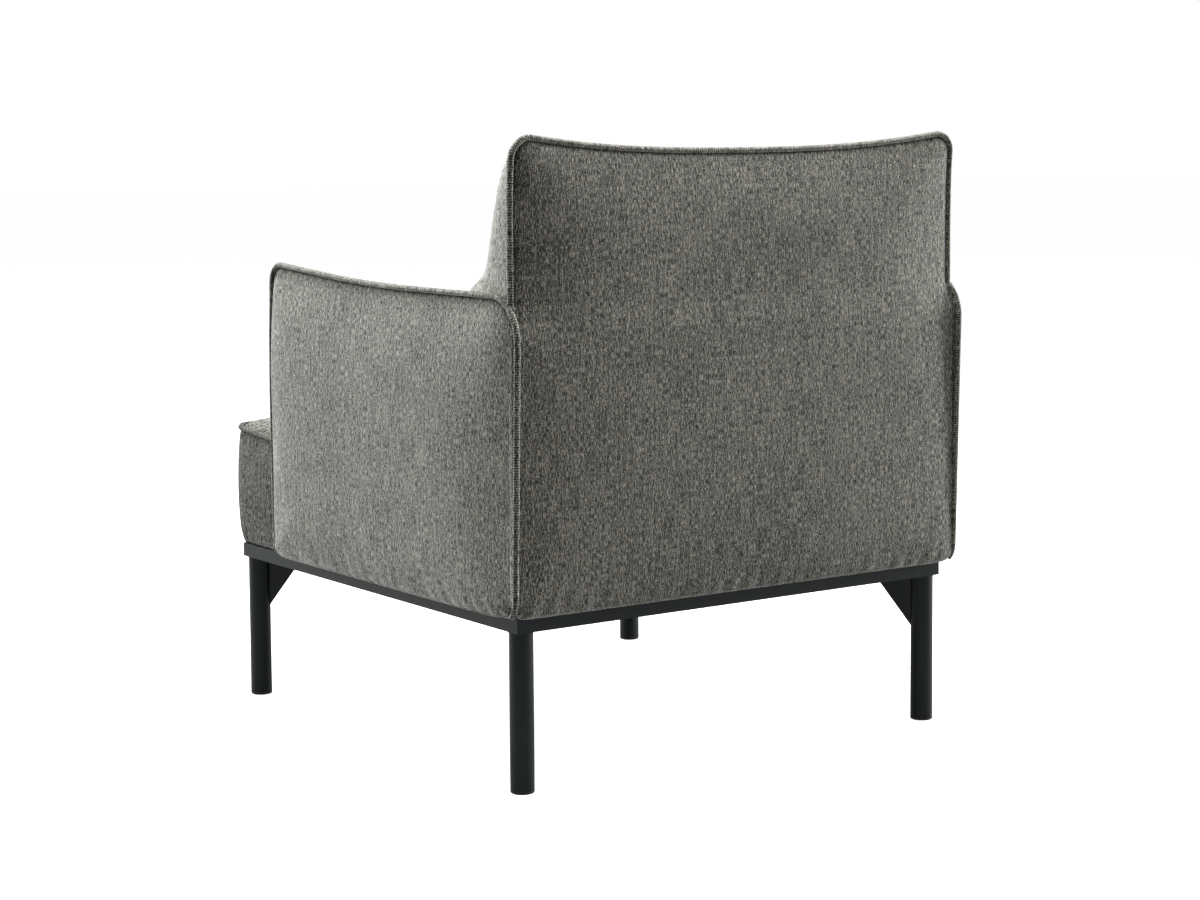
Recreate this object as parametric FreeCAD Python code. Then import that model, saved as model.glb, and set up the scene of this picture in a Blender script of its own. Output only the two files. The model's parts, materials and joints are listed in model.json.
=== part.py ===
import FreeCAD, Part
import math
import os

# Upholstered lounge armchair on a welded steel base. Millimetres.
# +Z is up, the sitter faces -Y, and the sitter's left hand is +X.
# The origin is on the floor, under the middle of the whole chair.

V = FreeCAD.Vector

# ---- overall sizes
base_width = 730.0
base_depth = 763.0
base_clearance = 213.0         # underside of the steel rails above the floor
seat_height = 185.0            # top of the seat above the steel base
arm_height = 415.0             # top of an arm, beside the back, above the steel base
back_height = 596.0            # top of the back, in its middle, above the steel base

# ---- steel base
rail_height = 20.0
rail_width = 40.0
rail_wall = 2.0
leg_diameter = 32.0
leg_wall = 2.0
leg_inset = 17.4               # leg axis inside the rails' outer faces
gusset_height = 75.0
gusset_length = 54.0           # along the diagonal, from the leg's surface
gusset_thickness = 4.0
plate_thickness = 4.0
plate_side = 115.0             # short side of a triangular corner plate
glide_thickness = 4.0
glide_edge_round = 2.5
glide_plug_depth = 18.0

# ---- fasteners between the base and the seat
bolt_diameter = 7.8
bolt_length = 45.0
bolt_head_height = 5.3
bolt_head_across_flats = 13.0
bolt_head_gap = 13.0           # bolt axis beyond the inner end of the gusset
washer_diameter = 20.0
washer_thickness = 1.6
tee_nut_flange = 22.0
tee_nut_flange_thickness = 1.5
tee_nut_barrel = 10.2
tee_nut_barrel_depth = 9.0

# ---- timber
timber = 25.0                  # board thickness
frame_setback = 10.0           # timber inside the base's outer faces
seat_rail_height = 65.0
block_side = 80.0
block_height = 40.0
arm_post_depth = 45.0
arm_top_rail_height = 40.0
arm_frame_cover = 26.0         # padding above the arm frame
arm_frame_setback = 18.0       # padding in front of the arm frame
stile_width = 40.0
back_top_rail_height = 37.0
back_top_rail_cover = 17.0     # padding above the middle of the top rail
back_middle_rail_rise = 261.0  # above the seat rails
back_low_rail_rise = 41.0      # above the seat rails
back_cross_rail_height = 40.0

# ---- suspension
spring_count = 5
spring_pitch = 105.0           # between spring centre lines
spring_bend_radius = 9.0
spring_width = 46.0
spring_wire = 3.8
clip_width = 18.0
clip_length = 14.0
clip_height = 7.0
webbing_count = 5
webbing_pitch = 105.0
webbing_width = 50.0
webbing_thickness = 2.0
webbing_lap = 20.0

# ---- upholstery
skin = 2.0                     # cover fabric with its backing
dust_cover_thickness = 1.0
welt_width = 8.0
welt_height = 3.5
seat_front_overhang = 30.5     # welt past the base's front
seat_foam_bottom_rise = 10.0   # above the seat rails
seat_corner_round = 26.0
arm_thickness = 95.0
arm_overhang = 25.0            # outer face past the base's side
arm_front_setback = 123.5      # behind the base's front
arm_front_rise = 18.0          # the arm's front top above its rear top
arm_rise_run = 288.0           # from the arm's front to where its top turns up
arm_rear_overhang = 30.5       # welt past the base's rear, at the shoulder
arm_foot_overhang = 16.5       # rear edge past the base's rear, at the foot
arm_bottom_rise = 2.0          # above the timber's underside
arm_rear_corner_radius = 58.0
arm_front_foot_radius = 30.0
arm_front_top_radius = 22.0
arm_edge_round = 12.0
back_side_overhang = 8.0       # past the base's side
back_seam_overhang = 2.5       # seam between the inner and outer covers, past the base's rear
back_bulge = 12.0              # outer back behind that seam
back_thickness = 203.0         # from that seam to the face of the back, at the seat
back_lean = 17.5               # degrees
back_ear_rise = 22.5           # where the side and top lines would meet, above the top's middle
back_ear_run = 223.0           # from the side to where the top edge starts to rise
back_edge_round = 8.0
back_corner_radius = 27.0
back_top_round = 34.0
top_line_blend = 1200.0
arm_line_blend = 6000.0

# ---- clearances
fit_gap = 0.1                  # pressed and screwed pieces
skin_gap = 0.2                 # foam inside its cover
soft_gap = 0.4                 # soft pieces side by side
cover_gap = 2.0                # covered pieces side by side
bolt_hole_gap = 1.2            # round each bolt

# ---- levels and lines that several pieces share
beyond = 3000.0                # further than any piece reaches
half_width = base_width / 2
half_depth = base_depth / 2
rail_top = base_clearance + rail_height
timber_bottom = rail_top + dust_cover_thickness
seat_rail_top = timber_bottom + seat_rail_height
seat_foam_bottom = seat_rail_top + seat_foam_bottom_rise
seat_top = rail_top + seat_height
timber_x = half_width - frame_setback
timber_y = half_depth - frame_setback
timber_inner_x = timber_x - timber
leg_x = half_width - leg_inset
leg_y = half_depth - leg_inset
leg_radius = leg_diameter / 2
back_face_y = timber_y - timber
arm_top = rail_top + arm_height
arm_bottom = timber_bottom + arm_bottom_rise
arm_frame_top = arm_top - arm_frame_cover
arm_outer_x = half_width + arm_overhang
arm_inner_x = arm_outer_x - arm_thickness
arm_front_y = arm_front_setback - half_depth
arm_front_top = arm_top + arm_front_rise
arm_dip_y = arm_front_y + arm_rise_run
arm_post_front_y = arm_front_y + arm_frame_setback
arm_foot_y = half_depth + arm_foot_overhang
arm_shoulder_y = half_depth + arm_rear_overhang - welt_height - skin_gap
arm_rear_slope = (arm_shoulder_y - arm_foot_y) / (arm_top - arm_rear_corner_radius - arm_bottom)
arm_rear_y = arm_shoulder_y + arm_rear_slope * arm_rear_corner_radius
back_half_width = half_width + back_side_overhang
back_dip_top = rail_top + back_height
back_ear_top = back_dip_top + back_ear_rise
back_dip_x = back_half_width - back_ear_run
back_seam_y = half_depth + back_seam_overhang
back_outer_y = back_seam_y + back_bulge
back_front_y = back_seam_y - back_thickness
back_frame_top = back_dip_top - back_top_rail_cover
back_middle_rail_z = seat_rail_top + back_middle_rail_rise
back_low_rail_z = seat_rail_top + back_low_rail_rise
seat_body_half_width = arm_inner_x - cover_gap
seat_front_y = welt_height + skin_gap - half_depth - seat_front_overhang
seat_tee_y = arm_front_y - cover_gap
seat_back_y = back_front_y - cover_gap
diagonal = math.sqrt(0.5)
bolt_reach = leg_radius + gusset_length + bolt_head_gap
bolt_x = leg_x - bolt_reach * diagonal
bolt_y = leg_y - bolt_reach * diagonal
CORNERS = (("front_left", 1, -1), ("front_right", -1, -1), ("rear_left", 1, 1), ("rear_right", -1, 1))
SIDES = (("left", 1), ("right", -1))

pieces = {}


def box(x0, x1, y0, y1, z0, z1):
    """A box from two values on each axis, in either order."""
    low = V(min(x0, x1), min(y0, y1), min(z0, z1))
    return Part.makeBox(abs(x1 - x0), abs(y1 - y0), abs(z1 - z0), low)


def post(radius, x, y, z0, z1):
    """An upright round bar."""
    return Part.makeCylinder(radius, z1 - z0, V(x, y, z0), V(0, 0, 1))


def mirrored(shape):
    """The same piece on the other side of the chair."""
    return shape.mirror(V(0, 0, 0), V(1, 0, 0))


def at_side(shape, side):
    return shape if side > 0 else mirrored(shape)


def rounded_wire(corners, place):
    """A closed outline from (a, b, radius) corners, where place(a, b) is a point in space."""
    count = len(corners)
    tangents = []
    for i, (a, b, radius) in enumerate(corners):
        before, after = corners[i - 1], corners[(i + 1) % count]
        back = V(before[0] - a, before[1] - b, 0).normalize()
        ahead = V(after[0] - a, after[1] - b, 0).normalize()
        half = back.getAngle(ahead) / 2
        if radius <= 0:
            tangents.append((V(a, b, 0), None, V(a, b, 0)))
            continue
        reach = radius / math.tan(half)
        middle = (back + ahead).normalize() * (radius / math.sin(half) - radius)
        corner = V(a, b, 0)
        tangents.append((corner + back * reach, corner + middle, corner + ahead * reach))
    edges = []
    for i, (start, middle, end) in enumerate(tangents):
        if middle is not None:
            arc = Part.Arc(place(start.x, start.y), place(middle.x, middle.y), place(end.x, end.y))
            edges.append(arc.toShape())
        ahead = tangents[(i + 1) % count][0]
        edges.append(Part.LineSegment(place(end.x, end.y), place(ahead.x, ahead.y)).toShape())
    return Part.Wire(edges)


def slab(corners, place, along, inset=0.0):
    """An outline drawn in by inset (or out, if negative) and pushed along a direction."""
    wire = rounded_wire(corners, place)
    if inset:
        wire = wire.makeOffset2D(-inset)
    return Part.Face(wire).extrude(along)


def round_face_edges(solid, axis, value, radius):
    """Round every edge that lies in the plane where one axis has the given value."""
    edges = [e for e in solid.Edges
             if all(abs(getattr(v.Point, axis) - value) < 1e-4 for v in e.Vertexes)
             and abs(getattr(e.CenterOfMass, axis) - value) < 1e-4]
    return solid.makeFillet(radius, edges)


# ---------------------------------------------------------------- steel base

def mitred_rail(length, width_line):
    """A rectangular tube along X, centred, with its outer face at y = width_line, mitred inwards."""
    inner_line = width_line - rail_width
    tube = box(-length / 2, length / 2, inner_line, width_line, base_clearance, rail_top)
    hollow = box(-length, length, inner_line + rail_wall, width_line - rail_wall,
                 base_clearance + rail_wall, rail_top - rail_wall)
    plan = [(-length / 2, width_line, 0), (length / 2, width_line, 0),
            (length / 2 - rail_width, inner_line, 0), (-length / 2 + rail_width, inner_line, 0)]
    wedge = slab(plan, lambda x, y: V(x, y, base_clearance), V(0, 0, rail_height))
    return tube.cut(hollow).common(wedge)


def turned(shape, degrees):
    copy = shape.copy()
    copy.rotate(V(0, 0, 0), V(0, 0, 1), degrees)
    return copy


def leg_tube(x, y):
    outer = post(leg_radius, x, y, glide_thickness, base_clearance)
    return outer.cut(post(leg_radius - leg_wall, x, y, 0, base_clearance + 1))


def glide(x, y):
    """A plastic foot with a plug pressed into the leg."""
    foot = post(leg_radius, x, y, 0, glide_thickness)
    foot = round_face_edges(foot, "z", 0.0, glide_edge_round)
    plug = post(leg_radius - leg_wall - fit_gap, x, y, glide_thickness, glide_thickness + glide_plug_depth)
    return foot.fuse(plug).removeSplitter()


def corner_plate(sx, sy):
    """A triangular plate across the inner corner of the rails, level with their top."""
    x, y = sx * (half_width - rail_width), sy * (half_depth - rail_width)
    plan = [(x, y, 0), (x - sx * plate_side, y, 0), (x, y - sy * plate_side, 0)]
    plate = slab(plan, lambda a, b: V(a, b, rail_top - plate_thickness), V(0, 0, plate_thickness))
    hole = post(bolt_diameter / 2 + bolt_hole_gap, sx * bolt_x, sy * bolt_y, base_clearance, rail_top + 1)
    return plate.cut(hole)


def gusset(sx, sy):
    """A fin on the leg's inner side, under the mitre, with a tab up to the corner plate."""
    inner_corner = (rail_width - leg_inset) / diagonal
    tab_start = inner_corner + gusset_thickness / 2 + skin_gap
    end = leg_radius + gusset_length
    plate_under = rail_top - plate_thickness
    side = [(0, base_clearance - gusset_height, 0), (0, base_clearance, 0), (tab_start, base_clearance, 0),
            (tab_start, plate_under, 0), (end, plate_under, 0), (end, base_clearance, 0),
            (leg_radius, base_clearance - gusset_height, 0)]
    fin = slab(side, lambda t, z: V(t, -gusset_thickness / 2, z), V(0, gusset_thickness, 0))
    fin = turned(fin, math.degrees(math.atan2(-sy, -sx)))
    fin.translate(V(sx * leg_x, sy * leg_y, 0))
    return fin.cut(post(leg_radius, sx * leg_x, sy * leg_y, 0, rail_top))


def build_base():
    pieces["rail_rear"] = mitred_rail(base_width, half_depth)
    pieces["rail_front"] = turned(pieces["rail_rear"], 180)
    side = mitred_rail(base_depth, half_width)
    pieces["rail_right"] = turned(side, 90)
    pieces["rail_left"] = turned(side, -90)
    for name, sx, sy in CORNERS:
        pieces["leg_" + name] = leg_tube(sx * leg_x, sy * leg_y)
        pieces["glide_" + name] = glide(sx * leg_x, sy * leg_y)
        pieces["gusset_" + name] = gusset(sx, sy)
        pieces["corner_plate_" + name] = corner_plate(sx, sy)


# ---------------------------------------------------------------- fasteners

def hexagon_bar(across_flats, x, y, z0, z1):
    corner = across_flats / math.sqrt(3)
    ring = [V(x + corner * math.cos(math.radians(60 * i)), y + corner * math.sin(math.radians(60 * i)), z0)
            for i in range(6)]
    return Part.Face(Part.makePolygon(ring + [ring[0]])).extrude(V(0, 0, z1 - z0))


def base_bolt(x, y):
    """A hexagon bolt with its washer, up through the corner plate."""
    plate_under = rail_top - plate_thickness
    seat = plate_under - washer_thickness
    washer = post(washer_diameter / 2, x, y, seat, plate_under)
    washer = washer.cut(post(bolt_diameter / 2 + fit_gap, x, y, seat - 1, plate_under + 1))
    head = hexagon_bar(bolt_head_across_flats, x, y, seat - bolt_head_height, seat)
    shank = post(bolt_diameter / 2, x, y, seat, seat + bolt_length)
    return [head.fuse(shank).removeSplitter(), washer]


def tee_nut(x, y):
    """A flanged nut let into the top of a corner block."""
    top = timber_bottom + block_height
    body = post(tee_nut_flange / 2, x, y, top, top + tee_nut_flange_thickness)
    body = body.fuse(post(tee_nut_barrel / 2, x, y, top - tee_nut_barrel_depth, top))
    bore = post(bolt_diameter / 2 + fit_gap, x, y, timber_bottom, top + block_height)
    return body.removeSplitter().cut(bore)


def build_fasteners():
    bolts, nuts = [], []
    for name, sx, sy in CORNERS:
        bolts += base_bolt(sx * bolt_x, sy * bolt_y)
        nuts.append(tee_nut(sx * bolt_x, sy * bolt_y))
    pieces["base_bolts"] = Part.makeCompound(bolts)
    pieces["base_tee_nuts"] = Part.makeCompound(nuts)


# ---------------------------------------------------------------- timber

def corner_block(sx, sy):
    x, y = sx * timber_inner_x, sy * back_face_y
    block = box(x, x - sx * block_side, y, y - sy * block_side, timber_bottom, timber_bottom + block_height)
    hole = post(tee_nut_barrel / 2 + fit_gap, sx * bolt_x, sy * bolt_y, rail_top, seat_rail_top)
    return block.cut(hole)


def upright(x0, x1, y0, y1, top):
    """A board that stands on the seat rails."""
    return box(x0, x1, y0, y1, seat_rail_top, top)


def build_timber():
    cross_rail = box(-timber_x, timber_x, back_face_y, timber_y, timber_bottom, seat_rail_top)
    pieces["seat_rail_rear"] = cross_rail
    pieces["seat_rail_front"] = turned(cross_rail, 180)
    pieces["seat_corner_blocks"] = Part.makeCompound([corner_block(sx, sy) for name, sx, sy in CORNERS])
    stile_top = back_frame_top - back_top_rail_height
    front_post_end = arm_post_front_y + arm_post_depth
    rear_post_start = timber_y - arm_post_depth
    for name, side in SIDES:
        rail = box(timber_inner_x, timber_x, -back_face_y, back_face_y, timber_bottom, seat_rail_top)
        front = upright(timber_inner_x, timber_x, arm_post_front_y, front_post_end, arm_frame_top)
        rear = upright(timber_inner_x, timber_x, rear_post_start, timber_y, arm_frame_top)
        top = box(timber_inner_x, timber_x, front_post_end, rear_post_start,
                  arm_frame_top - arm_top_rail_height, arm_frame_top)
        stile = upright(timber_inner_x - stile_width, timber_inner_x, back_face_y, timber_y, stile_top)
        for piece, shape in (("seat_rail_", rail), ("arm_front_post_", front), ("arm_rear_post_", rear),
                             ("arm_top_rail_", top), ("back_stile_", stile)):
            pieces[piece + name] = at_side(shape, side)
    span = timber_inner_x - stile_width
    pieces["back_rail_top"] = box(-timber_x, timber_x, back_face_y, timber_y, stile_top, back_frame_top)
    for piece, z in (("back_rail_middle", back_middle_rail_z), ("back_rail_bottom", back_low_rail_z)):
        pieces[piece] = box(-span, span, back_face_y, timber_y, z, z + back_cross_rail_height)


# ---------------------------------------------------------------- suspension

def sinuous_spring(x, start_y, end_y, z):
    """One zigzag wire, eight-sided to stay light: cross runs joined by round bends, rail to rail."""
    bends = 2 * int((end_y - start_y) / (4 * spring_bend_radius))
    radius = (end_y - start_y) / (2 * bends)
    reach = spring_width / 2 - radius
    edges = [Part.LineSegment(V(x, start_y, z), V(x + reach, start_y, z)).toShape()]
    for i in range(bends):
        side = 1 if i % 2 == 0 else -1
        y = start_y + 2 * radius * i
        tip = V(x + side * (reach + radius), y + radius, z)
        end = V(x + side * reach, y + 2 * radius, z)
        edges.append(Part.Arc(V(x + side * reach, y, z), tip, end).toShape())
        far = x if i == bends - 1 else x - side * reach
        edges.append(Part.LineSegment(end, V(far, y + 2 * radius, z)).toShape())
    corner = spring_wire / 2
    angles = [math.radians(45 * i + 22.5) for i in range(8)]
    ring = [V(x, start_y + corner * math.cos(a), z + corner * math.sin(a)) for a in angles]
    section = Part.makePolygon(ring + [ring[0]])
    return Part.Wire(edges).makePipeShell([section], True, False)


def spring_clip(x, y, z):
    """A steel clip on the rail that wraps the end run of a spring."""
    body = box(x - clip_width / 2, x + clip_width / 2, y - clip_length / 2, y + clip_length / 2,
               seat_rail_top, seat_rail_top + clip_height)
    bore = Part.makeCylinder(spring_wire / 2 + fit_gap, 2 * clip_width, V(x - clip_width, y, z), V(1, 0, 0))
    return body.cut(bore)


def build_suspension():
    z = seat_rail_top + clip_height / 2
    rail_middle = timber_y - timber / 2
    springs, clips = [], []
    for i in range(spring_count):
        x = (i - (spring_count - 1) / 2) * spring_pitch
        springs.append(sinuous_spring(x, -rail_middle, rail_middle, z))
        clips += [spring_clip(x, y, z) for y in (-rail_middle, rail_middle)]
    pieces["seat_springs"] = Part.makeCompound(springs)
    pieces["spring_clips"] = Part.makeCompound(clips)
    low = back_low_rail_z + back_cross_rail_height - webbing_lap
    high = back_frame_top - back_top_rail_height + webbing_lap
    straps = []
    for i in range(webbing_count):
        x = (i - (webbing_count - 1) / 2) * webbing_pitch
        straps.append(box(x - webbing_width / 2, x + webbing_width / 2, back_face_y - webbing_thickness,
                          back_face_y, low, high))
    pieces["back_webbing"] = Part.makeCompound(straps)


# ---------------------------------------------------------------- seat upholstery

def seat_block(inset, bottom, top):
    """The T-shaped seat: full width in front of the arms, narrow between them."""
    w, b = half_width, seat_body_half_width
    small = seat_corner_round / 4
    plan = [(-w, seat_front_y, seat_corner_round), (w, seat_front_y, seat_corner_round),
            (w, seat_tee_y, small), (b, seat_tee_y, small), (b, seat_back_y, small),
            (-b, seat_back_y, small), (-b, seat_tee_y, small), (-w, seat_tee_y, small)]
    return slab(plan, lambda x, y: V(x, y, bottom), V(0, 0, top - bottom), inset)


def build_seat():
    foam_inset = skin + skin_gap
    between_arms = box(-timber_x - skin, timber_x + skin, seat_tee_y - skin, beyond,
                       0, seat_foam_bottom)
    cover = seat_block(0, timber_bottom, seat_top).cut(seat_block(skin, 0, seat_top - skin))
    pieces["seat_cover"] = cover.cut(between_arms)
    pieces["seat_foam"] = seat_block(foam_inset, seat_foam_bottom, seat_top - foam_inset)
    apron = seat_block(foam_inset, timber_bottom + skin_gap, seat_foam_bottom - skin_gap)
    apron = apron.cut(box(-timber_x - skin_gap, timber_x + skin_gap, -timber_y - skin_gap, beyond,
                          0, seat_foam_bottom))
    pieces["seat_edge_pad"] = apron
    band = seat_block(-welt_height - skin_gap, seat_top - welt_width - skin, seat_top - skin)
    band = band.cut(seat_block(-skin_gap, 0, seat_top))
    pieces["welt_seat"] = band.cut(box(-beyond, beyond, seat_tee_y - cover_gap, beyond,
                                       0, seat_top))


# ---------------------------------------------------------------- arm upholstery

def arm_block(inset, edge_round):
    """The whole left arm, from its inner face to its outer face, before the frame is let in."""
    side = [(arm_front_y, arm_bottom, arm_front_foot_radius),
            (arm_front_y, arm_front_top, arm_front_top_radius),
            (arm_dip_y, arm_top, arm_line_blend),
            (arm_rear_y, arm_top, arm_rear_corner_radius),
            (arm_foot_y, arm_bottom, arm_edge_round + cover_gap)]
    inner, outer = arm_inner_x + inset, arm_outer_x - inset
    block = slab(side, lambda y, z: V(inner, y, z), V(outer - inner, 0, 0), inset)
    if edge_round:
        block = round_face_edges(block, "x", outer, edge_round - inset)
        block = round_face_edges(block, "x", inner, edge_round - inset)
    return block


def arm_recess(gap):
    """What the arm leaves free: the seat frame below it, the back frame and outer back behind it."""
    below = box(0, timber_x + gap, -beyond, beyond, 0, seat_rail_top + gap)
    behind = box(0, back_half_width + gap, back_seam_y - gap, beyond, 0, back_ear_top)
    stile = box(0, timber_inner_x, back_face_y - gap, beyond, 0, back_ear_top)
    return below.fuse(behind).fuse(stile)


def build_arms():
    foam_inset = skin + skin_gap
    shell = arm_block(0, arm_edge_round).cut(arm_block(skin, arm_edge_round)).cut(arm_recess(soft_gap))
    filling = arm_block(foam_inset, arm_edge_round).cut(arm_recess(soft_gap + skin_gap))
    outer_side = box(timber_x + skin_gap, beyond, -beyond, beyond, 0, back_ear_top)
    frame = box(timber_inner_x - skin_gap, timber_x + skin_gap, arm_post_front_y - skin_gap,
                beyond, 0, arm_frame_top + skin_gap)
    inner_pad = filling.cut(outer_side).cut(frame)
    outer_pad = filling.common(outer_side)
    welt_start = back_half_width + 3 * soft_gap
    welt_shape = arm_block(-welt_height - skin_gap, 0).cut(arm_block(-skin_gap, 0))
    run = box(welt_start, welt_start + welt_width, arm_front_y + arm_front_top_radius, beyond,
              arm_bottom + arm_edge_round, back_ear_top)
    welt = welt_shape.common(run)
    for name, side in SIDES:
        for piece, shape in (("arm_cover_", shell), ("arm_inner_pad_", inner_pad),
                             ("arm_outer_pad_", outer_pad), ("welt_arm_", welt)):
            pieces[piece + name] = at_side(shape, side)


# ---------------------------------------------------------------- back upholstery

def back_outline(bottom, inset, y0, y1):
    """The back seen from behind: straight sides, round top corners and a dipped top edge."""
    w = back_half_width
    front_view = [(-w, bottom, back_edge_round + cover_gap), (-w, back_ear_top, back_corner_radius),
                  (-back_dip_x, back_dip_top, top_line_blend), (back_dip_x, back_dip_top, top_line_blend),
                  (w, back_ear_top, back_corner_radius), (w, bottom, back_edge_round + cover_gap)]
    return slab(front_view, lambda x, z: V(x, y0, z), V(0, y1 - y0, 0), inset)


def back_wedge(inset, rear, bottom):
    """The back seen from the side: upright behind the seat, then leaning back to its top."""
    rise = back_ear_top - seat_top
    top_front_y = back_front_y + rise * math.tan(math.radians(back_lean))
    face, lean = back_front_y + inset, top_front_y + inset / math.cos(math.radians(back_lean))
    top = back_ear_top - inset
    side = [(rear, bottom, 0), (face, bottom, 0), (face, seat_top, 0),
            (lean, top, back_top_round - inset), (rear, top, 0)]
    return slab(side, lambda y, z: V(-back_half_width, y, z), V(2 * back_half_width, 0, 0))


def inner_back(inset, rear, bottom):
    wedge = back_wedge(inset, rear, bottom)
    return wedge.common(back_outline(0, inset, 0, beyond))


def build_back():
    foam_inset = skin + skin_gap
    clear = arm_block(-soft_gap, 0).fuse(mirrored(arm_block(-soft_gap, 0)))
    cover = inner_back(0, back_seam_y, seat_foam_bottom).cut(inner_back(skin, beyond, 0))
    pieces["back_inner_cover"] = cover.cut(clear)
    foam = inner_back(foam_inset, back_seam_y - skin_gap, seat_foam_bottom)
    wide_clear = arm_block(-soft_gap - skin, 0).fuse(mirrored(arm_block(-soft_gap - skin, 0)))
    frame = box(-timber_x - skin_gap, timber_x + skin_gap, back_face_y - webbing_thickness - skin_gap,
                beyond, 0, back_frame_top + skin_gap)
    pieces["back_foam"] = foam.cut(wide_clear).cut(frame)

    outer = round_face_edges(back_outline(arm_bottom, 0, back_seam_y, back_outer_y), "y", back_outer_y,
                             back_edge_round)
    hollow = round_face_edges(back_outline(arm_bottom, skin, 0, back_outer_y - skin), "y",
                              back_outer_y - skin, back_edge_round - skin)
    pieces["back_outer_cover"] = outer.cut(hollow)
    pad = back_outline(arm_bottom, foam_inset, back_seam_y + skin_gap, back_outer_y - foam_inset)
    pieces["back_outer_pad"] = round_face_edges(pad, "y", back_outer_y - foam_inset,
                                                back_edge_round - foam_inset)
    welt_y = back_seam_y - welt_width / 2
    band = back_outline(0, -welt_height - skin_gap, welt_y, welt_y + welt_width)
    band = band.cut(back_outline(0, -skin_gap, 0, beyond))
    above_arms = box(-beyond, beyond, 0, beyond, arm_top + welt_width, beyond)
    pieces["welt_back"] = band.common(above_arms)


def build_dust_cover():
    sheet = box(-timber_x, timber_x, -timber_y, timber_y, rail_top, timber_bottom)
    for name, sx, sy in CORNERS:
        sheet = sheet.cut(post(bolt_diameter / 2 + bolt_hole_gap, sx * bolt_x, sy * bolt_y,
                               base_clearance, seat_rail_top))
    pieces["dust_cover"] = sheet


build_base()
build_fasteners()
build_timber()
build_suspension()
build_seat()
build_arms()
build_back()
build_dust_cover()

os.makedirs("parts", exist_ok=True)
for name, shape in pieces.items():
    shape.exportStep(os.path.join("parts", name + ".step"))
    size = shape.BoundBox
    print(name, len(shape.Solids), "solids", "valid" if shape.isValid() else "NOT VALID",
          round(shape.Volume), [round(v, 1) for v in (size.XMin, size.XMax, size.YMin, size.YMax,
                                                      size.ZMin, size.ZMax)])
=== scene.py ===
import json
import math

import bmesh
import bpy
import numpy as np
from mathutils import Matrix, Vector
from mathutils.kdtree import KDTree


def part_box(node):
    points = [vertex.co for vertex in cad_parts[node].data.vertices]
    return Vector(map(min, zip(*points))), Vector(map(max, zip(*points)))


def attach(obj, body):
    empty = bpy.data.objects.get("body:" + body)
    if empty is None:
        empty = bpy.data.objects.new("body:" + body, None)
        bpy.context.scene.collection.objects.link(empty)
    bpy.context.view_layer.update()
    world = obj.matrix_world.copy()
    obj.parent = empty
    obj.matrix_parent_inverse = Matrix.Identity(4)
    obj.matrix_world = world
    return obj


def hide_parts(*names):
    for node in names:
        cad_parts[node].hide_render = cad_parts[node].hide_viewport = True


# Upholstered lounge armchair on a welded steel base. Metres, +Z up, the sitter faces -Y.

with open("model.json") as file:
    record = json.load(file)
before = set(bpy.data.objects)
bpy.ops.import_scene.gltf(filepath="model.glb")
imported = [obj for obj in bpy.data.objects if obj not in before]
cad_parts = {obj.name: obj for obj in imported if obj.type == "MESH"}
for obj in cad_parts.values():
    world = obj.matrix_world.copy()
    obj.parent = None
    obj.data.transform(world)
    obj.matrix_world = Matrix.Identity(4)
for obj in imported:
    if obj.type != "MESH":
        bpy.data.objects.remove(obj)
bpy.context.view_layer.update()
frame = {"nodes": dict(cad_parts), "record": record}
nodes = frame["nodes"]
MM = 0.001

# ---------------------------------------------------------------- places taken from the frame

rail_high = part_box("rail_rear")[1]
RAIL_TOP = rail_high.z
RAIL_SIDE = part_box("rail_left")[1].x
RAIL_FRONT = -rail_high.y
arm_low, arm_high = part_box("arm_cover_left")
welt_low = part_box("welt_arm_left")[0]
back_low, back_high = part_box("back_outer_cover")
wedge_low, wedge_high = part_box("back_inner_cover")
seat_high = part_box("seat_cover")[1]
seat_welt_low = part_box("welt_seat")[0]

# ---------------------------------------------------------------- sizes of the upholstery

VOXEL = 6 * MM                          # size of the covers' quads before they are subdivided
PAINTED_SEAM_SHADE_WIDTH = 6.2 * MM                   # how wide the painted shade beside a seam is
RUN_STEP = 1.1 * MM                     # spacing of the points along a welt
RIB_PITCH = 3.4 * MM                    # ribs across the welts' cloth
FILL_FRAMES = 20                        # frames of cloth simulation that fill a cover

ARM_FOOT = RAIL_TOP - 3.5 * MM          # the arm's cover hangs a little below the top of the rail
ARM_SEAM_X = welt_low.x + 2 * MM        # line of the welt
ARM_TOP = arm_high.z - 18 * MM
ARM_REAR = arm_high.y - 3 * MM
ARM_FRONT = arm_low.y + 3 * MM
ARM_CROWN = 14 * MM
ARM_DEPTH = 66 * MM                     # from the arm's inner face to its seam
ARM_BOW = 0.50                          # height at which the arm reaches furthest forward
ARM_FOOT_BACK = 4 * MM                  # how far the front edge falls back at its foot
ARM_EAR_BACK = 8 * MM                   # and at its ear
ARM_EAR_RISE = 19 * MM                  # the ear above the arm's top at the back
ARM_DIP_AT = 0.03                       # where along the arm its top stops falling
ARM_EAR_ROUND = 27 * MM
ARM_REAR_ROUND = 58 * MM

SEAT_FOOT = RAIL_TOP - 8 * MM
SEAT_SEAM = seat_high.z - 6 * MM
SEAT_CROWN = 19 * MM
TEE_REAR = ARM_FRONT - 1 * MM           # rear edge of the part of the seat that runs before the arms

BACK_SEAM_Y = back_low.y + 1 * MM
BACK_CROWN = 11 * MM
BACK_FOOT = RAIL_TOP - 1 * MM
BACK_EAR = back_high.z + 3 * MM
BACK_HALF = wedge_high.x - 1 * MM
BACK_LEAN = math.tan(math.radians(17.5))
BACK_EAR_ROUND = 27 * MM
BACK_DIP = 20 * MM                      # the top edge's middle below its ears
PANEL_DEPTH = 18 * MM                   # the outer panel's blank
PAD_DEPTH = 110 * MM                    # the inner pad's blank


# ---------------------------------------------------------------- shader helpers

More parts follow.
